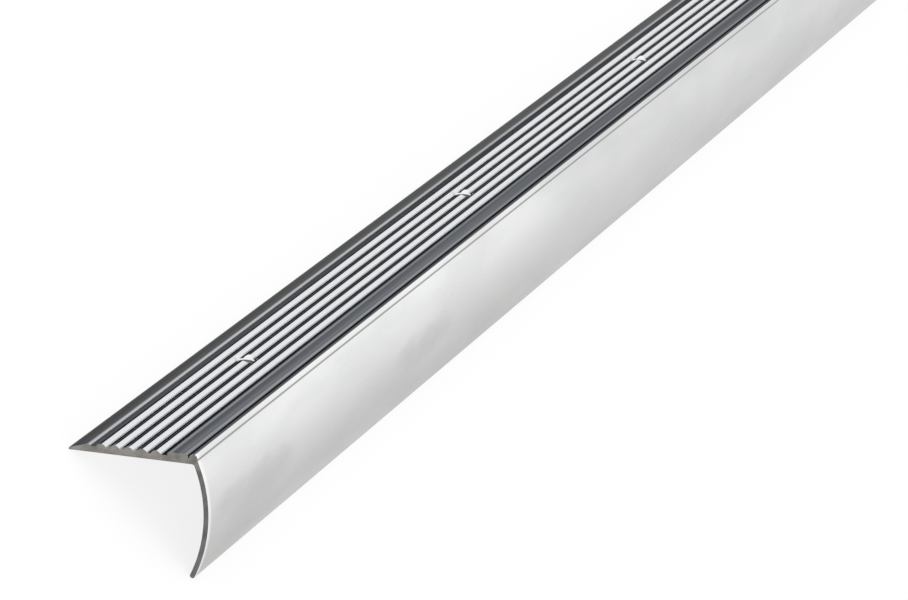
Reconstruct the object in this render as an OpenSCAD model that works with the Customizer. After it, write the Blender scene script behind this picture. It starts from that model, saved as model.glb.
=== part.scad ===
// Fluted stair nosing, extruded aluminium, in millimetres.
// A flat ribbed flange lies on the tread and a curved apron covers its front edge.
// Stored as it lies on a level floor: back edge and lip down, nose up, length along Y.

/* [Strip] */
// Length of the strip
strip_length = 914.4; // [200:0.1:3000]
// Width from the back edge to the fullest point of the apron
overall_width = 28.6; // [22:0.1:60]
// Drop from the top of the nose to the end of the lip
overall_drop = 24.6; // [18:0.1:36]

/* [Flange] */
// Thickness of the plate under the ribs
plate_t = 1.2; // [0.8:0.05:3]
// Thickness left at the feathered back edge
back_edge_t = 0.4; // [0.2:0.05:0.8]
// Slope of the feathered back edge, in degrees
feather_angle = 17; // [12:1:30]

/* [Ribs and land] */
// Height of the ribs and the land above the plate
rib_h = 0.65; // [0.3:0.05:0.9]
// Width of a rib where it meets the plate
rib_w = 2; // [1:0.05:2.4]
// Distance between the ribs
rib_pitch = 2.76; // [2.3:0.01:5]
// Back edge to the crest of the low rib that the feather cuts
low_rib_x = 3.3; // [2.5:0.1:4]
// Back edge to the crest of the first full rib
first_rib_x = 6.5; // [5.5:0.1:9]
// Width of the flat land between the ribs and the nose
land_w = 4.2; // [1.5:0.1:10]
// Rounding of the land's edges
land_edge_r = 0.4; // [0.1:0.05:0.6]
// Clear width of the groove between the land and the nose
nose_gap = 0.2; // [0.1:0.05:1]

/* [Nose and apron] */
// Radius of the round bead along the nose
bead_r = 0.85; // [0.6:0.05:1.5]
// Height of the bead above the plate
bead_rise = 0.8; // [0.3:0.05:1]
// How far the bead stands out from the curve of the apron
bead_proud = 0.2; // [0.05:0.05:0.5]
// Outer radius of the apron's curve
apron_r = 27.9; // [20:0.1:60]
// Fullest point of the apron, below the underside of the flange
apron_full_z = 10.9; // [6:0.1:16]
// Thickness of the apron
apron_t = 1; // [0.6:0.05:2]
// Fillet in the inner corner
corner_r = 0.6; // [0.2:0.1:2]

/* [Nail holes] */
// End of the strip to the middle of the first hole
hole_end = 71; // [10:0.5:95]
// Largest distance between the holes
hole_gap_max = 160; // [30:1:800]
// Rib that the holes are drilled through, counted from the back
hole_rib = 3; // [1:1:5]
// Diameter of a nail hole
hole_d = 3.2; // [2:0.1:4]
// Diameter of the countersink at the top of the ribs
sink_d = 5; // [4.2:0.1:6]
// Full angle of the countersink, in degrees
sink_angle = 90; // [75:1:120]

/* [Hidden] */
$fn = 96;
// Overshoot of a cutting tool
over = 1;

// Heights in the section, from the underside of the flange
rib_z = plate_t + rib_h;
nose_z = plate_t + bead_rise;
lip_z = nose_z - overall_drop;

// The apron is a ring around one axis
apron_x = overall_width - apron_r;
apron_z = -apron_full_z;
inner_r = apron_r - apron_t;
mid_r = apron_r - apron_t / 2;

// The lip is crowned across the end of the wall
lip_r = 0.55 * apron_t;
lip_mid_z = lip_z + lip_r;
lip_x = apron_x + sqrt(pow(mid_r, 2) - pow(lip_mid_z - apron_z, 2));

// Where the crown meets the outer face, as an angle at the apron's axis
lip_cos = (pow(mid_r, 2) + pow(apron_r, 2) - pow(lip_r, 2)) / (2 * mid_r * apron_r);
lip_end = atan2(lip_mid_z - apron_z, lip_x - apron_x) - acos(lip_cos);

// The bead stands proud of the plate and of the apron
bead_z = nose_z - bead_r;
bead_reach = apron_r + bead_proud - bead_r;
bead_x = apron_x + sqrt(pow(bead_reach, 2) - pow(bead_z - apron_z, 2));

// The land ends at the nose groove, and as many ribs as fit stand behind it
land_front = bead_x - bead_r - nose_gap;
land_back = land_front - land_w;
rib_gap = rib_pitch - rib_w;
rib_room = land_back - rib_gap - rib_w / 2 - first_rib_x;
rib_count = max(1, 1 + floor(rib_room / rib_pitch));

// A rib is the cap of a circle
rib_r = (rib_w * rib_w / 4 + rib_h * rib_h) / (2 * rib_h);

// Where the apron's inner face meets the underside, and the fillet there
corner_x = apron_x + sqrt(pow(inner_r, 2) - pow(apron_z, 2));
fillet_x = apron_x + sqrt(pow(inner_r - corner_r, 2) - pow(corner_r + apron_z, 2));
fillet_k = inner_r / (inner_r - corner_r);
fillet_end = [
    apron_x + (fillet_x - apron_x) * fillet_k,
    apron_z + (-corner_r - apron_z) * fillet_k
];

// Holes at an even distance between the two end ones
hole_x = first_rib_x + (hole_rib - 1) * rib_pitch;
hole_span = strip_length - 2 * hole_end;
hole_steps = max(1, ceil(hole_span / hole_gap_max));
sink_depth = (sink_d - hole_d) / 2 / tan(sink_angle / 2);

// Turn that brings the back edge and the lip down onto the floor
lip_far = norm([lip_x, lip_mid_z]);
rest_turn = atan2(-lip_mid_z, lip_x) + asin(lip_r / lip_far);
rest_left = -back_edge_t * sin(rest_turn);
rest_right = apron_x * cos(rest_turn) - apron_z * sin(rest_turn)
    + apron_r * cos(rest_turn + lip_end);

// Plate of the flange, out to the curve of the apron
module plate() {
    intersection() {
        square([overall_width, plate_t]);
        translate([apron_x, apron_z])
            circle(apron_r);
    }
}

// Cap of one rib, its foot sunk into the plate
module rib(x) {
    translate([x, rib_z - rib_r])
        intersection() {
            circle(rib_r);
            translate([-rib_w, rib_r - rib_h - plate_t / 4])
                square([2 * rib_w, 2 * rib_r]);
        }
}

// Flat land with rounded edges, its foot sunk into the plate
module land() {
    foot_z = plate_t / 2;
    translate([land_back, foot_z])
        square([land_w, rib_z - land_edge_r - foot_z]);
    translate([land_back + land_edge_r, foot_z])
        square([land_w - 2 * land_edge_r, rib_z - foot_z]);
    for (x = [land_back + land_edge_r, land_front - land_edge_r])
        translate([x, rib_z - land_edge_r])
            circle(land_edge_r);
}

// Everything above the slope of the back edge
module feather() {
    translate([0, back_edge_t])
        rotate(feather_angle)
            translate([-overall_width, 0])
                square([2 * overall_width, overall_width]);
}

// Round bead along the nose, clear of the underside
module bead() {
    intersection() {
        translate([bead_x, bead_z])
            circle(bead_r);
        translate([0, plate_t / 8])
            square(overall_width);
    }
}

// Curved wall from the nose down to the crowned lip
module apron() {
    intersection() {
        translate([apron_x, apron_z])
            difference() {
                circle(apron_r);
                circle(inner_r);
            }
        union() {
            polygon([
                [apron_x, apron_z],
                [apron_x + 2 * (bead_x - apron_x), apron_z + 2 * (bead_z - apron_z)],
                [apron_x + 4 * apron_r, apron_z],
                [apron_x + 2 * (lip_x - apron_x), apron_z + 2 * (lip_mid_z - apron_z)]
            ]);
            translate([lip_x, lip_mid_z])
                circle(lip_r);
        }
    }
}

// Material left by the fillet between the underside and the apron
module corner_fillet() {
    difference() {
        polygon([
            [fillet_x, plate_t / 2],
            [fillet_x, -corner_r],
            fillet_end,
            [corner_x + apron_t / 2, plate_t / 2]
        ]);
        translate([fillet_x, -corner_r])
            circle(corner_r);
    }
}

// Section of the strip, underside of the flange level
module section() {
    difference() {
        union() {
            plate();
            rib(low_rib_x);
            for (i = [0 : rib_count - 1])
                rib(first_rib_x + i * rib_pitch);
        }
        feather();
    }
    land();
    bead();
    apron();
    corner_fillet();
}

// One countersunk nail hole, cut from above
module nail_hole() {
    translate([0, 0, -over])
        cylinder(d = hole_d, h = rib_z + 2 * over);
    translate([0, 0, rib_z - sink_depth])
        cylinder(d1 = hole_d, d2 = sink_d, h = sink_depth);
    translate([0, 0, rib_z])
        cylinder(d = sink_d, h = over);
}

module nosing() {
    color([0.78, 0.79, 0.80])
        translate([-(rest_left + rest_right) / 2, 0, 0])
            rotate([0, -rest_turn, 0])
                difference() {
                    rotate([90, 0, 0])
                        linear_extrude(height = strip_length, center = true)
                            section();
                    for (i = [0 : hole_steps])
                        translate([hole_x, hole_span * (i / hole_steps - 1 / 2), 0])
                            nail_hole();
                }
}

nosing();
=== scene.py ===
import math

import bpy
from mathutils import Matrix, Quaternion, Vector


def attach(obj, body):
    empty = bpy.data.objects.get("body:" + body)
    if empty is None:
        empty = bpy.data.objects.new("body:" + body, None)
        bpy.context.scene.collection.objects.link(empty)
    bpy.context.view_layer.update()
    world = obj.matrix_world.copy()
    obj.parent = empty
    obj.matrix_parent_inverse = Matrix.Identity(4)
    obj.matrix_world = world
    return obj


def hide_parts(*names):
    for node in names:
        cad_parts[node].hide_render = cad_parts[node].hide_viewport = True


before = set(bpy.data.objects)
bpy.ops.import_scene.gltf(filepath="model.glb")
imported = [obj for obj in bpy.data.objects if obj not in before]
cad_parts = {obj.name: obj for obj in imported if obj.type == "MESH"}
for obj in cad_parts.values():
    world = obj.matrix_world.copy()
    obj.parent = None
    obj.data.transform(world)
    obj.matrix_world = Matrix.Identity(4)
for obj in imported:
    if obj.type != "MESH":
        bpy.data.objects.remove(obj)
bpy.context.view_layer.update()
print("frame loaded:", sorted(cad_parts))

mm = 0.001
samePoint = 0.002 * mm  # points closer than this are merged
sameCorner = 0.01 * mm  # a point this close to a corner is that corner
squareOn = 0.9  # a face is square to an axis if its normal goes along it by more than this

# section of the strip in millimetres: x across from the back edge, z up from the underside
strip = {
    "length": 914.4,
    "width": 28.6,
    "drop": 24.6,
    "plate": 1.2,
    "backEdge": 0.4,
    "featherAngle": 17,
    "ribHeight": 0.65,
    "ribWidth": 2,
    "ribPitch": 2.76,
    "ribCount": 5,
    "ribFoot": 0.12,  # strip of the plate that stays bright silver like the rib's front, outside the painted shade
    "lowRib": 3.3,
    "firstRib": 6.5,
    "landWidth": 4.2,
    "landEdge": 0.4,
    "noseGap": 0.2,
    "beadRadius": 0.85,
    "beadRise": 0.8,
    "beadProud": 0.2,
    "apronRadius": 27.9,
    "apronFull": 10.9,  # fullest point of the apron, below the underside
    "apronWall": 1,
    "lipRadius": 0.55,
    "fillet": 0.6,
    "bends": {  # edges in each bend of the section
        "lowRib": 5,
        "rib": 9,
        "landEdge": 6,
        "beadBack": 12,
        "beadFront": 14,
        "apronOuter": 60,
        "lip": 4,
        "apronInner": 56,
        "fillet": 8,
    },
    "edgeRound": 0.08,  # softened corners along the length
    "edgeSegments": 3,
    "endBreak": (0.14, 0.09),  # broken edge round the sawn ends: across, along
    "smoothAngle": 28,  # bends sharper than this stay crisp
}

nailHole = {
    "fromEnd": 71,
    "count": 6,
    "rib": 3,
    "diameter": 3.2,
    "sinkDiameter": 5,
    "sinkAngle": 90,
    "sides": 64,
    "clear": 4,  # length cut loose on each side of a hole
    "over": 1,  # how far the drill stands out below and above
}


def crossing(centreA, radiusA, centreB, radiusB, side):
    # where two circles meet, on the left (1) or the right (-1) of the line between their centres
    a, b = Vector(centreA), Vector(centreB)
    gap = (b - a).length
    along = (gap * gap + radiusA * radiusA - radiusB * radiusB) / (2 * gap)
    off = math.sqrt(radiusA * radiusA - along * along)
    way = (b - a) / gap
    return a + way * along + Vector((-way.y, way.x)) * off * side


# heights and centres that the section follows from
plateTop = strip["plate"]
ribTop = plateTop + strip["ribHeight"]
noseTop = plateTop + strip["beadRise"]
apronAxis = Vector((strip["width"] - strip["apronRadius"], -strip["apronFull"]))


def onRing(radius, z):
    # the point at that height on a circle round the apron's axis, on the nose side
    return Vector((apronAxis.x + math.sqrt(radius ** 2 - (z - apronAxis.y) ** 2), z))


innerRadius = strip["apronRadius"] - strip["apronWall"]
middleRadius = strip["apronRadius"] - strip["apronWall"] / 2
lipCentre = onRing(middleRadius, noseTop - strip["drop"] + strip["lipRadius"])
beadReach = strip["apronRadius"] + strip["beadProud"] - strip["beadRadius"]
beadCentre = onRing(beadReach, noseTop - strip["beadRadius"])
filletCentre = onRing(innerRadius - strip["fillet"], -strip["fillet"])
landFront = beadCentre.x - strip["beadRadius"] - strip["noseGap"]
landBack = landFront - strip["landWidth"]
ribHalf = strip["ribWidth"] / 2
ribRadius = (ribHalf ** 2 + strip["ribHeight"] ** 2) / (2 * strip["ribHeight"])
ribs = [strip["firstRib"] + i * strip["ribPitch"] for i in range(strip["ribCount"])]
holeX = ribs[nailHole["rib"] - 1]
holeSpan = strip["length"] - 2 * nailHole["fromEnd"]
holeYs = [holeSpan * (i / (nailHole["count"] - 1) - 0.5) for i in range(nailHole["count"])]
sinkSlope = math.tan(math.radians(nailHole["sinkAngle"] / 2))
sinkDepth = (nailHole["sinkDiameter"] - nailHole["diameter"]) / 2 / sinkSlope
sinkFoot = ribTop - sinkDepth

# turn and shift that lay the section on the floor, back edge and lip down
restTurn = math.atan2(-lipCentre.y, lipCentre.x) + math.asin(strip["lipRadius"] / lipCentre.length)
lipCorner = crossing(apronAxis, strip["apronRadius"], lipCentre, strip["lipRadius"], -1)
restLeft = -strip["backEdge"] * math.sin(restTurn)
restRight = lipCorner.x * math.cos(restTurn) - lipCorner.y * math.sin(restTurn)
restShift = -(restLeft + restRight) / 2
print("lies turned by %.3f degrees, shifted by %.3f mm" % (math.degrees(restTurn), restShift))


def clearSelection():
    if bpy.context.object and bpy.context.object.mode != "OBJECT":
        bpy.ops.object.mode_set(mode="OBJECT")
    bpy.ops.object.select_all(action="DESELECT")


def pick(piece, kind, test):
    # select the vertices or faces that pass the test, from object mode, and go on in edit mode
    bpy.ops.object.mode_set(mode="EDIT")
    bpy.ops.mesh.select_mode(type=kind)
    bpy.ops.mesh.select_all(action="DESELECT")
    bpy.ops.object.mode_set(mode="OBJECT")
    found = 0
    parts = piece.data.vertices if kind == "VERT" else piece.data.polygons
    for part in parts:
        part.select = test(part)
        found += part.select
    bpy.ops.object.mode_set(mode="EDIT")
    return found


class Pen:
    # draws the outline as one chain of edges, straight runs by extrude and bends by spin

    def __init__(self, start, depth):
        self.at, self.depth = Vector(start), depth
        bpy.ops.mesh.primitive_plane_add(size=mm, location=(start[0] * mm, depth * mm, start[1] * mm))
        self.piece = bpy.context.object
        bpy.ops.object.transform_apply(location=True, rotation=True, scale=True)
        bpy.ops.object.mode_set(mode="EDIT")
        bpy.ops.mesh.select_mode(type="VERT")
        bpy.ops.mesh.select_all(action="SELECT")
        bpy.ops.mesh.merge(type="CENTER")

    def line(self, x, z):
        go = (Vector((x, z)) - self.at) * mm
        bpy.ops.mesh.extrude_vertices_move(TRANSFORM_OT_translate={"value": (go.x, 0, go.y)})
        self.at = Vector((x, z))

    def arc(self, centre, end, steps):
        # the shorter way round from here to the end
        centre, end = Vector(centre), Vector(end)
        a, b = self.at - centre, end - centre
        angle = math.atan2(a.x * b.y - a.y * b.x, a.dot(b))
        bpy.ops.mesh.spin(
            steps=steps,
            angle=angle,
            center=(centre.x * mm, self.depth * mm, centre.y * mm),
            axis=(0, 1, 0),
        )
        self.at = end


def drawSection(depth):
    bends = strip["bends"]
    pen = Pen((0, 0), depth)
    pen.line(0, strip["backEdge"])

    # the feathered edge runs up to where it leaves the low rib
    slope = math.tan(math.radians(strip["featherAngle"]))
    ribZ = ribTop - ribRadius
    rise = strip["backEdge"] - ribZ
    a, b = 1 + slope ** 2, -strip["lowRib"] + slope * rise
    c = strip["lowRib"] ** 2 + rise ** 2 - ribRadius ** 2
    ridge = (-b + math.sqrt(b * b - a * c)) / a
    ridgeTop = strip["backEdge"] + slope * ridge
    pen.line(ridge, ridgeTop)
    pen.arc((strip["lowRib"], ribZ), (strip["lowRib"] + ribHalf, plateTop), bends["lowRib"])

    # full ribs with the plate between them, each drawn as two arcs up to and down from its crest
    for x in ribs:
        pen.line(x - ribHalf, plateTop)
        pen.arc((x, ribZ), (x, ribTop), bends["rib"])
        pen.arc((x, ribZ), (x + ribHalf, plateTop), bends["rib"])
        pen.line(x + ribHalf + strip["ribFoot"], plateTop)

    # flat land with rounded edges
    edge = strip["landEdge"]
    pen.line(landBack, plateTop)
    pen.line(landBack, ribTop - edge)
    pen.arc((landBack + edge, ribTop - edge), (landBack + edge, ribTop), bends["landEdge"])
    pen.line(landFront - edge, ribTop)
    pen.arc((landFront - edge, ribTop - edge), (landFront, ribTop - edge), bends["landEdge"])
    pen.line(landFront, plateTop)

    # nose bead from the groove over the top to the apron
    beadFoot = beadCentre.x - math.sqrt(strip["beadRadius"] ** 2 - (plateTop - beadCentre.y) ** 2)
    beadEnd = crossing(apronAxis, strip["apronRadius"], beadCentre, strip["beadRadius"], -1)
    pen.line(beadFoot, plateTop)
    pen.arc(beadCentre, (beadCentre.x, noseTop), bends["beadBack"])
    pen.arc(beadCentre, beadEnd, bends["beadFront"])

    # apron down its outer face, round the lip and up its inner face
    innerCorner = crossing(apronAxis, innerRadius, lipCentre, strip["lipRadius"], -1)
    away = (lipCentre - apronAxis).normalized()
    lipEnd = lipCentre + Vector((away.y, -away.x)) * strip["lipRadius"]
    filletAway = (filletCentre - apronAxis).normalized()
    pen.arc(apronAxis, lipCorner, bends["apronOuter"])
    pen.arc(lipCentre, lipEnd, bends["lip"])
    pen.arc(lipCentre, innerCorner, bends["lip"])
    pen.arc(apronAxis, apronAxis + filletAway * innerRadius, bends["apronInner"])
    pen.arc(filletCentre, (filletCentre.x, 0), bends["fillet"])
    pen.line(0, 0)

    bpy.ops.mesh.select_all(action="SELECT")
    bpy.ops.mesh.remove_doubles(threshold=samePoint)
    bpy.ops.object.mode_set(mode="OBJECT")
    soft = [(0, 0), (0, strip["backEdge"]), (ridge, ridgeTop), lipCorner, innerCorner]
    return pen.piece, [Vector(p) * mm for p in soft]


def buildStrip():
    clearSelection()
    across, along = strip["endBreak"]
    near, far = -strip["length"] / 2 + along, strip["length"] / 2 - along
    piece, softCorners = drawSection(near)
    print("section drawn:", len(piece.data.vertices), "points")

    def isSoft(vertex):
        here = Vector((vertex.co.x, vertex.co.z))
        return any((here - corner).length < sameCorner for corner in softCorners)

    bpy.ops.object.mode_set(mode="EDIT")
    bpy.ops.mesh.select_all(action="SELECT")
    bpy.ops.mesh.edge_face_add()
    bpy.ops.object.mode_set(mode="OBJECT")
    picked = pick(piece, "VERT", isSoft)
    bpy.ops.mesh.bevel(
        offset=strip["edgeRound"] * mm,
        segments=strip["edgeSegments"],
        affect="VERTICES",
    )
    print("softened corners:", picked)

    # pull the section along, with a short length of its own at each hole
    stops = sorted([far] + [y + side * nailHole["clear"] for y in holeYs for side in (-1, 1)])
    bpy.ops.mesh.select_mode(type="FACE")
    bpy.ops.mesh.select_all(action="SELECT")
    at = near
    for stop in stops:
        bpy.ops.mesh.extrude_region_move(TRANSFORM_OT_translate={"value": (0, (stop - at) * mm, 0)})
        at = stop
    bpy.ops.mesh.select_all(action="SELECT")
    bpy.ops.mesh.normals_make_consistent(inside=False)
    bpy.ops.object.mode_set(mode="OBJECT")

    # broken edge round both sawn ends
    for side in (-1, 1):
        pick(piece, "FACE", lambda face: face.normal.y * side > squareOn)
        bpy.ops.mesh.inset(thickness=across * mm, depth=along * mm)
        bpy.ops.object.mode_set(mode="OBJECT")
    print("strip extruded:", len(piece.data.polygons), "faces")
    return piece


def buildDrill():
    # one drill with its countersink, then a copy at every hole
    clearSelection()
    radius = nailHole["diameter"] / 2
    depth = sinkFoot + nailHole["over"]
    bpy.ops.mesh.primitive_cylinder_add(
        vertices=nailHole["sides"],
        radius=radius * mm,
        depth=depth * mm,
        location=(holeX * mm, holeYs[0] * mm, (sinkFoot - depth / 2) * mm),
        rotation=(0, 0, math.pi / nailHole["sides"]),  # so that no edge of it lies over the rib's crest
    )
    drill = bpy.context.object
    bpy.ops.object.transform_apply(location=True, rotation=True, scale=True)

    # the cone runs on above the ribs
    pick(drill, "FACE", lambda face: face.normal.z > squareOn)
    coneHeight = sinkDepth + nailHole["over"]
    grow = 1 + coneHeight * sinkSlope / radius
    bpy.ops.mesh.extrude_region_move(TRANSFORM_OT_translate={"value": (0, 0, coneHeight * mm)})
    bpy.ops.transform.resize(
        value=(grow, grow, 1),
        center_override=(holeX * mm, holeYs[0] * mm, ribTop * mm),
    )
    bpy.ops.object.mode_set(mode="OBJECT")

    drills = [drill]
    for y in holeYs[1:]:
        clearSelection()
        drill.select_set(True)
        bpy.context.view_layer.objects.active = drill
        bpy.ops.object.duplicate()
        bpy.ops.transform.translate(value=(0, (y - holeYs[0]) * mm, 0))
        drills.append(bpy.context.object)
    clearSelection()
    for copy in drills:
        copy.select_set(True)
    bpy.context.view_layer.objects.active = drill
    bpy.ops.object.join()
    bpy.ops.object.transform_apply(location=True, rotation=True, scale=True)
    return drill


class Wire:
    # a socket that takes part in sums; an expression on wires adds its Math nodes

    def __init__(self, tree, socket=None):
        self.tree, self.socket = tree, socket

    def node(self, kind, settings=None, sockets=None, out=0):
        made = self.tree.nodes.new(kind)
        for name, value in (settings or {}).items():
            setattr(made, name, value)
        for name, value in (sockets or {}).items():
            if isinstance(value, Wire):
                self.tree.links.new(value.socket, made.inputs[name])
            else:
                made.inputs[name].default_value = value
        return Wire(self.tree, made.outputs[out]) if made.outputs else None

    def maths(self, operation, first, second):
        return self.node("ShaderNodeMath", {"operation": operation}, {0: first, 1: second})

    def __add__(self, other):
        return self.maths("ADD", self, other)

    def __radd__(self, other):
        return self.maths("ADD", other, self)

    def __sub__(self, other):
        return self.maths("SUBTRACT", self, other)

    def __rsub__(self, other):
        return self.maths("SUBTRACT", other, self)

    def __mul__(self, other):
        return self.maths("MULTIPLY", self, other)

    def __rmul__(self, other):
        return self.maths("MULTIPLY", other, self)

    def __or__(self, other):
        return self.maths("MAXIMUM", self, other)

    def __ror__(self, other):
        return self.maths("MAXIMUM", other, self)

    def ramp(self, low, high):
        # soft step from 0 at low to 1 at high
        return self.node(
            "ShaderNodeMapRange",
            {"interpolation_type": "SMOOTHSTEP"},
            {"Value": self, "From Min": low, "From Max": high},
        )

    def near(self, place, reach):
        # 1 at the place, falling to 0 at the reach on both sides
        away = self.node("ShaderNodeMath", {"operation": "ABSOLUTE"}, {0: self - place})
        return 1 - away.ramp(0, reach)

    def band(self, rise, fall):
        # up over the first range and down again over the second
        return self.ramp(*rise) * (1 - self.ramp(*fall))

    def swing(self, size):
        # noise about its middle, which is 0.5
        return (self - 0.5) * size

    def mix(self, blend, factor, first, second):
        # inputs 6 and 7 of a Mix node and its output 2 are the ones for colours
        settings = {"data_type": "RGBA", "blend_type": blend}
        return self.node("ShaderNodeMix", settings, {0: factor, 6: first, 7: second}, 2)

    def tint(self, low, high):
        # colour between two, by this wire
        return self.mix("MIX", self, low, high)

    def times(self, colour):
        return self.mix("MULTIPLY", 1.0, self, colour)


def grey(level):
    return (level, level, level, 1)


def newMaterial(name):
    material = bpy.data.materials.new(name)
    material.use_nodes = True
    material.node_tree.nodes.clear()
    return material, Wire(material.node_tree)


def sectionPlace(start):
    # the object's own place in the section, in millimetres: x across, y along, z up from the underside
    return start.node(
        "ShaderNodeMapping",
        {"vector_type": "POINT"},
        {
            "Vector": start.node("ShaderNodeTexCoord", out="Object"),
            "Scale": (1 / mm, 1 / mm, 1 / mm),
            "Rotation": (0, restTurn, 0),
            "Location": (-restShift * math.cos(restTurn), 0, restShift * math.sin(restTurn)),
        },
    )


def axisOf(vector, which):
    return vector.node("ShaderNodeSeparateXYZ", None, {"Vector": vector}, which)


def speckle(vector, scale, detail):
    return vector.node("ShaderNodeTexNoise", None, {"Vector": vector, "Scale": scale, "Detail": detail})


def streaks(vector, scale, detail):
    # noise with its own scale across, along and up
    stretched = vector.node("ShaderNodeMapping", None, {"Vector": vector, "Scale": scale})
    return speckle(stretched, 1.0, detail)


def relief(height, depth, strength):
    # bump with its depth in millimetres
    sockets = {"Strength": strength, "Distance": depth * mm, "Height": height}
    return height.node("ShaderNodeBump", None, sockets)


def wearMetal(start, colour, roughness, normal, edge):
    # the edge is how much of the metal's shine is left at a glancing angle
    shader = start.node(
        "ShaderNodeBsdfPrincipled",
        None,
        {
            "Base Color": colour,
            "Metallic": 1.0,
            "Roughness": roughness,
            "Specular Tint": grey(edge),
            "Normal": normal,
        },
    )
    start.node("ShaderNodeOutputMaterial", None, {"Surface": shader})


# lines that the die leaves along the strip
drawn = {
    "fine": (9.0, 0.012, 9.0),  # scale across, along and up
    "fineDetail": 3.0,
    "broad": (1.3, 0.006, 1.3),
    "broadDetail": 2.0,
    "fineShare": 0.7,  # of the relief, the rest is broad
    "depth": 0.006,
    "strength": 0.35,
    "uneven": 0.08,  # swing of the roughness
}


def drawnLines(place):
    fine = streaks(place, drawn["fine"], drawn["fineDetail"])
    broad = streaks(place, drawn["broad"], drawn["broadDetail"])
    height = fine * drawn["fineShare"] + broad * (1 - drawn["fineShare"])
    return fine, broad, relief(height, drawn["depth"], drawn["strength"])


# painted highlight: bright edge beside the sawn ends
endHighlight = {
    "reach": 2.4,
    "silver": (0.97, 0.97, 0.97, 1),
    "flute": (0.62, 0.57, 0.55, 1),
    "ribs": (1, 4),  # first and last rib of the flutes that show it
}


def endHighlightMask(along):
    # 1 at both sawn ends, falling to 0 a little way in
    half = strip["length"] / 2
    return along.near(-half, endHighlight["reach"]) | along.near(half, endHighlight["reach"])


silver = {
    "nose": (0.86, 0.865, 0.865, 1),  # nose bead and top of the apron
    "noseSoft": (0.76, 0.765, 0.765, 1),
    "noseFar": (0.695, 0.70, 0.70, 1),  # the same further along: painted shade, darker and evener there
    "noseFarSoft": (0.64, 0.645, 0.645, 1),
    "farFrom": (-250, -185),  # along the strip, where the one goes over into the other
    "farShift": 5,  # how much lower down the apron pales there
    "lip": (0.51, 0.51, 0.505, 1),  # apron towards the lip, darker: painted shade
    "lipSoft": (0.44, 0.44, 0.435, 1),
    "pales": (-21, 1),  # heights between the tones of the lip and the nose
    "patchScale": (0.11, 0.024, 0.11),
    "patchDetail": 3.0,
    "patchEdge": (0.30, 0.70),
    "patchShift": 7,  # how far the patches move those heights
    "darkPatch": (0.44, 0.44, 0.44, 1),
    "darkPatches": ((-429, -11.2, 24, 4.0), (-313, -11.2, 20, 3.6)),  # along, up, half length, half height
    "darkPatchShare": 0.5,  # of its colour, at most
    "darkPatchEdge": (-0.5, 1.7),  # where it fades, 0 in its middle and 1 at its half sizes
    "darkPatchScale": (0.19, 0.07, 0.19),
    "darkPatchDetail": 2.0,
    "darkPatchRagged": 2.4,  # how uneven its border is
    "ribFront": (0.74, 0.755, 0.775, 1),
    "ribUp": (0.5, 0.7),  # heights where that tone begins
    "creaseShade": (0.22, 0.22, 0.225, 1),  # painted shade: dark line in the crease under the nose
    "creaseBelow": 0.25,  # from the middle of the bead
    "creaseReach": 0.33,
    "creaseOut": (0.56, 0.71),  # out from the same, where the line begins
    "rough": 0.26,
    "edge": 0.88,
    "under": 0.3,  # silver faces: below this height,
    "noseOut": 0.3,  # this far out from the middle of the bead,
    "crestOut": 0.14,  # and this far down the front of a rib
}


def makeSilver():
    material, start = newMaterial("silverExtrusion")
    place = sectionPlace(start)
    x, y, z = (axisOf(place, axis) for axis in "XYZ")
    fine, _, lines = drawnLines(place)
    patches = streaks(place, silver["patchScale"], silver["patchDetail"])
    raggedNoise = streaks(place, silver["darkPatchScale"], silver["darkPatchDetail"])

    # painted shade: the apron pales from the lip up to the nose and is darker further along, with soft
    # patches
    cloud = patches.ramp(*silver["patchEdge"])
    far = y.ramp(*silver["farFrom"])
    upper = far.tint(
        cloud.tint(silver["nose"], silver["noseSoft"]),
        cloud.tint(silver["noseFar"], silver["noseFarSoft"]),
    )
    lower = cloud.tint(silver["lip"], silver["lipSoft"])
    height = z + patches.swing(silver["patchShift"]) + far * silver["farShift"]
    colour = height.ramp(*silver["pales"]).tint(lower, upper)

    # darker patches, only on the outer face of the apron
    outX, outZ = x - apronAxis.x, z - apronAxis.y
    outer = (outX * outX + outZ * outZ).ramp(innerRadius ** 2, strip["apronRadius"] ** 2)
    share = silver["darkPatchShare"]
    for along, up, halfLength, halfHeight in silver["darkPatches"]:
        aside, above = (y - along) * (1 / halfLength), (z - up) * (1 / halfHeight)
        away = aside * aside + above * above + raggedNoise.swing(silver["darkPatchRagged"])
        darkPatch = (share - away.ramp(*silver["darkPatchEdge"]) * share) * outer
        colour = darkPatch.tint(colour, silver["darkPatch"])

    # painted highlight along both sawn ends
    colour = endHighlightMask(y).tint(colour, endHighlight["silver"])
    onRibs = z.ramp(*silver["ribUp"]) * (1 - x.ramp(landBack, landFront))
    colour = onRibs.tint(colour, silver["ribFront"])
    # painted shade in the crease between the bead and the apron
    creaseShade = z.near(beadCentre.y - silver["creaseBelow"], silver["creaseReach"])
    creaseFrom, creaseTo = (beadCentre.x + out for out in silver["creaseOut"])
    colour = (creaseShade * x.ramp(creaseFrom, creaseTo)).tint(colour, silver["creaseShade"])

    rough = silver["rough"] + (fine.swing(drawn["uneven"]) + patches.swing(drawn["uneven"]))
    wearMetal(start, colour, rough, lines, silver["edge"])
    return material


# painted shade for the dark reflection on the flange's top, with painted highlights along some edges;
# the fronts of the ribs stay bright silver
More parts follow.
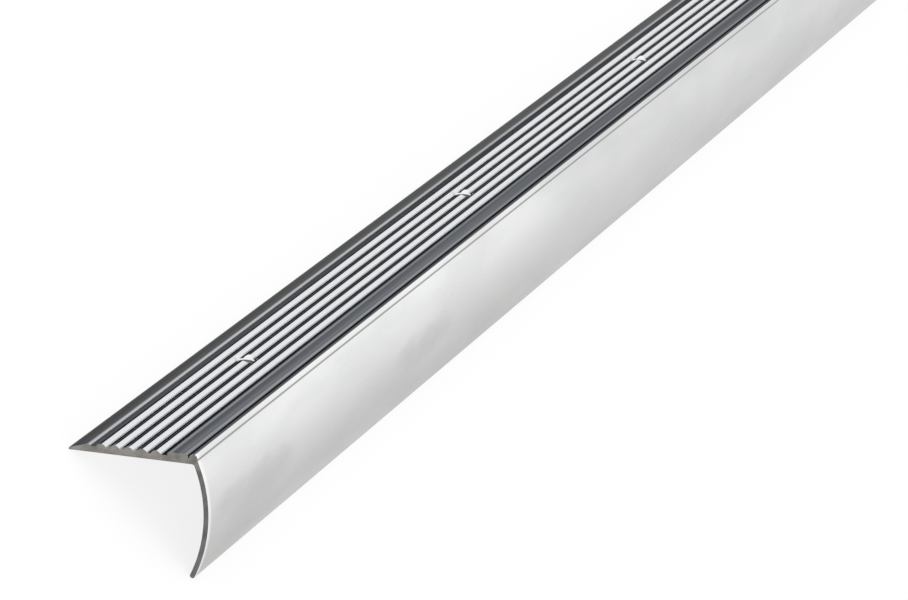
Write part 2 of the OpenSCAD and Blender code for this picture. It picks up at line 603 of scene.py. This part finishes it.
paintedShade = {
    "flute": (0.115, 0.122, 0.134, 1),  # painted shade: plate between the ribs and the backs of the ribs
    "wideFlute": (0.215, 0.225, 0.243, 1),  # the one between the low rib and the first full one
    "wideFade": 0.9,  # from the foot of the first full rib
    "noseGroove": (0.29, 0.295, 0.305, 1),  # groove in front of the land and the back of the bead
    "grooveFade": 0.06,  # on both sides of the land's front
    # painted shade on the flat land
    "land": (0.38, 0.395, 0.42, 1),
    "landFrom": (-0.02, 0.14),  # where its tone begins, from its back
    "landTo": (-0.22, -0.06),  # where it ends, from its front
    "landShade": (0.27, 0.28, 0.305, 1),  # darker band in front of the back line
    "shadeAt": 1.5,  # from the land's back
    "shadeReach": 0.9,
    "shadeFades": (-367, -237),  # along the strip, where that band fades out
    "landLine": (0.68, 0.69, 0.71, 1),  # painted highlights: pale lines along both edges of the land
    "backLine": (0.70, 0.45, 0.9),  # in from the land's back, reach, strength
    "frontLine": (0.54, 0.42, 0.7),  # in from its front, reach, strength
    "feather": (0.128, 0.131, 0.136, 1),  # painted shade on the back edge, paler towards its ridge
    "featherTop": (0.31, 0.315, 0.322, 1),
    "featherPales": (1.1, 3.1),  # all from the back edge
    "featherEnds": (3.9, 4.1),
    "ridge": (0.70, 0.71, 0.73, 1),  # painted highlight where the feathered edge meets the low rib
    "ridgeFrom": (3.3, 4.05),
    "ridgeTo": (4.28, 4.42),
    "toneDark": 0.78,  # drawn lines in the colour
    "tonePale": 1.2,
    "toneEdge": (0.25, 0.75),
    "toneFine": 0.4,  # share of the fine lines, the rest is broad
    "rough": 0.24,
    "edge": 0.20,
}


def makeFlangeShade():
    material, start = newMaterial("flangeWithPaintedShade")
    place = sectionPlace(start)
    x, y = axisOf(place, "X"), axisOf(place, "Y")
    fine, broad, lines = drawnLines(place)

    # flutes from the wide one at the back to the groove at the nose
    foot = ribs[0] - ribHalf
    flute = x.ramp(foot, foot + paintedShade["wideFade"]).tint(paintedShade["wideFlute"], paintedShade["flute"])
    fade = paintedShade["grooveFade"]
    flute = x.ramp(landFront - fade, landFront + fade).tint(flute, paintedShade["noseGroove"])
    # painted highlight on the middle flutes near both sawn ends
    first, last = (ribs[number - 1] for number in endHighlight["ribs"])
    middle = x.band((first, first + ribHalf), (last - ribHalf, last))
    flute = (endHighlightMask(y) * middle).tint(flute, endHighlight["flute"])

    # flat land with its painted highlight lines
    shade = x.near(landBack + paintedShade["shadeAt"], paintedShade["shadeReach"]) * (1 - y.ramp(*paintedShade["shadeFades"]))
    land = shade.tint(paintedShade["land"], paintedShade["landShade"])
    landRise = [landBack + step for step in paintedShade["landFrom"]]
    landFall = [landFront + step for step in paintedShade["landTo"]]
    colour = x.band(landRise, landFall).tint(flute, land)
    backIn, backReach, backStrength = paintedShade["backLine"]
    frontIn, frontReach, frontStrength = paintedShade["frontLine"]
    backLine = x.near(landBack + backIn, backReach) * backStrength
    frontLine = x.near(landFront - frontIn, frontReach) * frontStrength
    colour = (backLine | frontLine).tint(colour, paintedShade["landLine"])

    # feathered back edge up to the ridge of the low rib
    back = x.ramp(*paintedShade["featherPales"]).tint(paintedShade["feather"], paintedShade["featherTop"])
    colour = x.ramp(*paintedShade["featherEnds"]).tint(back, colour)
    colour = x.band(paintedShade["ridgeFrom"], paintedShade["ridgeTo"]).tint(colour, paintedShade["ridge"])

    streak = broad * (1 - paintedShade["toneFine"]) + fine * paintedShade["toneFine"]
    tone = streak.ramp(*paintedShade["toneEdge"]).tint(grey(paintedShade["toneDark"]), grey(paintedShade["tonePale"]))
    rough = paintedShade["rough"] + fine.swing(drawn["uneven"])
    wearMetal(start, colour.times(tone), rough, lines, paintedShade["edge"])
    return material


sawn = {
    "pale": (0.33, 0.315, 0.292, 1),
    "dark": (0.175, 0.167, 0.155, 1),
    "shares": (0.4, 0.2, 0.4),  # saw marks, grain and blotches
    "wall": (0.12, 0.12, 0.12, 1),  # cut edge of the apron
    "wallPale": (0.19, 0.189, 0.186, 1),
    "wallShares": (0.4, 0.6),  # grain and blotches
    "wallTo": (-2.0, 0.2),  # heights where it goes over into the flange
    "contrast": (0.36, 0.64),
    "markTurn": 24,  # slant of the saw marks, in degrees
    "markScale": (0.5, 1.0, 16.0),
    "markDetail": 2.0,
    "markDepth": 0.012,
    "markStrength": 0.5,
    "grainScale": 5.0,
    "grainDetail": 3.0,
    "blotchScale": 0.42,
    "blotchDetail": 1.0,
    "rough": 0.46,
    "uneven": 0.16,
    "edge": 0.6,
    "facing": 0.5,  # faces that point along the strip by more than this are sawn
}


def makeSawn():
    material, start = newMaterial("sawnEnd")
    place = sectionPlace(start)
    turn = (0, math.radians(sawn["markTurn"]), 0)
    tilted = start.node("ShaderNodeMapping", None, {"Vector": place, "Rotation": turn})
    marks = streaks(tilted, sawn["markScale"], sawn["markDetail"])
    grain = speckle(place, sawn["grainScale"], sawn["grainDetail"])
    blotch = speckle(place, sawn["blotchScale"], sawn["blotchDetail"])

    markShare, grainShare, blotchShare = sawn["shares"]
    flange = marks * markShare + grain * grainShare + blotch * blotchShare
    grainShare, blotchShare = sawn["wallShares"]
    wall = grain * grainShare + blotch * blotchShare
    colour = axisOf(place, "Z").ramp(*sawn["wallTo"]).tint(
        wall.ramp(*sawn["contrast"]).tint(sawn["wall"], sawn["wallPale"]),
        flange.ramp(*sawn["contrast"]).tint(sawn["dark"], sawn["pale"]),
    )
    cuts = relief(marks, sawn["markDepth"], sawn["markStrength"])
    wearMetal(start, colour, sawn["rough"] + grain.swing(sawn["uneven"]), cuts, sawn["edge"])
    return material


drilled = {
    "sink": (0.90, 0.90, 0.90, 1),  # freshly cut countersink
    "sinkRing": (0.78, 0.78, 0.785, 1),
    # painted shade down the bore, below the countersink
    "boreShade": (0.30, 0.30, 0.31, 1),
    "boreTo": (-0.05, 0.1),  # from the foot of the countersink
    "ringScale": (0.5, 0.5, 14.0),
    "ringDetail": 2.0,
    "ringEdge": (0.3, 0.7),
    "ringDepth": 0.012,
    "ringStrength": 0.5,
    "rough": 0.28,
    "uneven": 0.12,
    "edge": 0.5,
}


def makeDrilled():
    material, start = newMaterial("drilledHole")
    place = sectionPlace(start)
    rings = streaks(place, drilled["ringScale"], drilled["ringDetail"])
    sink = rings.ramp(*drilled["ringEdge"]).tint(drilled["sinkRing"], drilled["sink"])
    boreTop, sinkFrom = (sinkFoot + step for step in drilled["boreTo"])
    colour = axisOf(place, "Z").ramp(boreTop, sinkFrom).tint(drilled["boreShade"], sink)
    cuts = relief(rings, drilled["ringDepth"], drilled["ringStrength"])
    wearMetal(start, colour, drilled["rough"] + rings.swing(drilled["uneven"]), cuts, drilled["edge"])
    return material


piece = buildStrip()
drill = buildDrill()
piece.name = piece.data.name = "nosingStrip"
for makeFinish in (makeSilver, makeFlangeShade, makeSawn):
    piece.data.materials.append(makeFinish())
drill.data.materials.append(makeDrilled())
print("materials made")


def finishOf(face):
    # 0 silver, 1 painted shade, 2 sawn: the flange's top takes the painted shade but for the fronts of
    #                                    its ribs, which stay bright silver
    x, z = face.center.x / mm, face.center.z / mm
    if abs(face.normal.y) > sawn["facing"]:
        return 2
    if z < silver["under"] or x > beadCentre.x + silver["noseOut"]:
        return 0
    ribFront = any(silver["crestOut"] < x - crest < ribHalf + strip["ribFoot"] for crest in ribs)
    return 0 if ribFront else 1


for face in piece.data.polygons:
    face.material_index = finishOf(face)

# drill the holes
clearSelection()
piece.select_set(True)
bpy.context.view_layer.objects.active = piece
cut = piece.modifiers.new("nailHoles", "BOOLEAN")
cut.operation = "DIFFERENCE"
cut.solver = "EXACT"
cut.material_mode = "TRANSFER"
cut.object = drill
bpy.ops.object.modifier_apply(modifier=cut.name)
bpy.data.objects.remove(drill)
while piece.data.uv_layers:
    bpy.ops.mesh.uv_texture_remove()  # left from the primitives, and nothing reads it
print("holes drilled:", len(piece.data.polygons), "faces")

# lay the strip on the floor and keep its place in the mesh
piece.rotation_euler = (0, -restTurn, 0)
piece.location = (restShift * mm, 0, 0)
bpy.ops.object.transform_apply(location=True, rotation=True, scale=True)
bpy.ops.object.shade_smooth_by_angle(angle=math.radians(strip["smoothAngle"]))
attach(piece, "root")
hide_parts("nosing")

# metres and degrees
studio = {
    "floorHalf": 30,
    "floorColour": (0.18, 0.18, 0.18, 1),
    "floorGlow": 0.80,
    "sunStrength": 0.35,
    "sunAngle": 50,
    "sunFrom": (0.5, -0.2, 1.0),
    "sky": 1.08,
    "horizon": 1.0,
    "skyRise": (0.02, 0.22),  # where the horizon goes over into the sky
}


def makeFloor():
    clearSelection()
    bpy.ops.mesh.primitive_plane_add(size=2 * studio["floorHalf"], location=(0, 0, 0))
    floor = bpy.context.object
    floor.name = "paleFloor"
    material, start = newMaterial("paleFloor")
    seen = start.node("ShaderNodeLightPath", out="Is Camera Ray")
    mirrored = start.node("ShaderNodeLightPath", out="Is Glossy Ray")
    passing = start.node("ShaderNodeLightPath", out="Is Transmission Ray")
    shown = seen | mirrored | passing
    matt = start.node("ShaderNodeBsdfDiffuse", None, {"Color": studio["floorColour"]})
    glow = start.node("ShaderNodeEmission", None, {"Strength": shown * studio["floorGlow"]})
    both = start.node("ShaderNodeAddShader", None, {0: matt, 1: glow})
    start.node("ShaderNodeOutputMaterial", None, {"Surface": both})
    floor.data.materials.append(material)


def makeSky():
    world = bpy.data.worlds.new("softStudio")
    bpy.context.scene.world = world
    world.use_nodes = True
    world.node_tree.nodes.clear()
    start = Wire(world.node_tree)
    up = axisOf(start.node("ShaderNodeTexCoord", out="Generated"), "Z")
    level = studio["horizon"] + up.ramp(*studio["skyRise"]) * (studio["sky"] - studio["horizon"])
    back = start.node("ShaderNodeBackground", None, {"Color": (1, 1, 1, 1), "Strength": level})
    start.node("ShaderNodeOutputWorld", None, {"Surface": back})


def makeSun():
    clearSelection()
    bpy.ops.object.light_add(type="SUN", location=studio["sunFrom"])
    sun = bpy.context.object
    sun.name = "softSun"
    sun.data.energy = studio["sunStrength"]
    sun.data.angle = math.radians(studio["sunAngle"])
    sun.rotation_mode = "QUATERNION"
    sun.rotation_quaternion = Vector(studio["sunFrom"]).to_track_quat("Z", "Y")


# metres and degrees, lens and sensor in millimetres
view = {
    "from": (0.04921, -1.51856, 0.49689),
    "aim": (0.00827, -0.28068, 0.009),
    "roll": 45.637,
    "lens": 242.54,
    "sensor": 36,
    "clip": (0.01, 100),
}


def makeCamera():
    data = bpy.data.cameras.new("photoView")
    camera = bpy.data.objects.new("photoView", data)
    bpy.context.scene.collection.objects.link(camera)
    data.lens = view["lens"]
    data.sensor_width = view["sensor"]
    data.clip_start, data.clip_end = view["clip"]
    camera.location = view["from"]
    look = (Vector(view["aim"]) - Vector(view["from"])).to_track_quat("-Z", "Y")
    camera.rotation_mode = "QUATERNION"
    camera.rotation_quaternion = look @ Quaternion((0, 0, 1), math.radians(view["roll"]))
    bpy.context.scene.camera = camera


makeFloor()
makeSky()
makeSun()
makeCamera()
bpy.context.scene.view_settings.view_transform = "Standard"
print("studio ready")
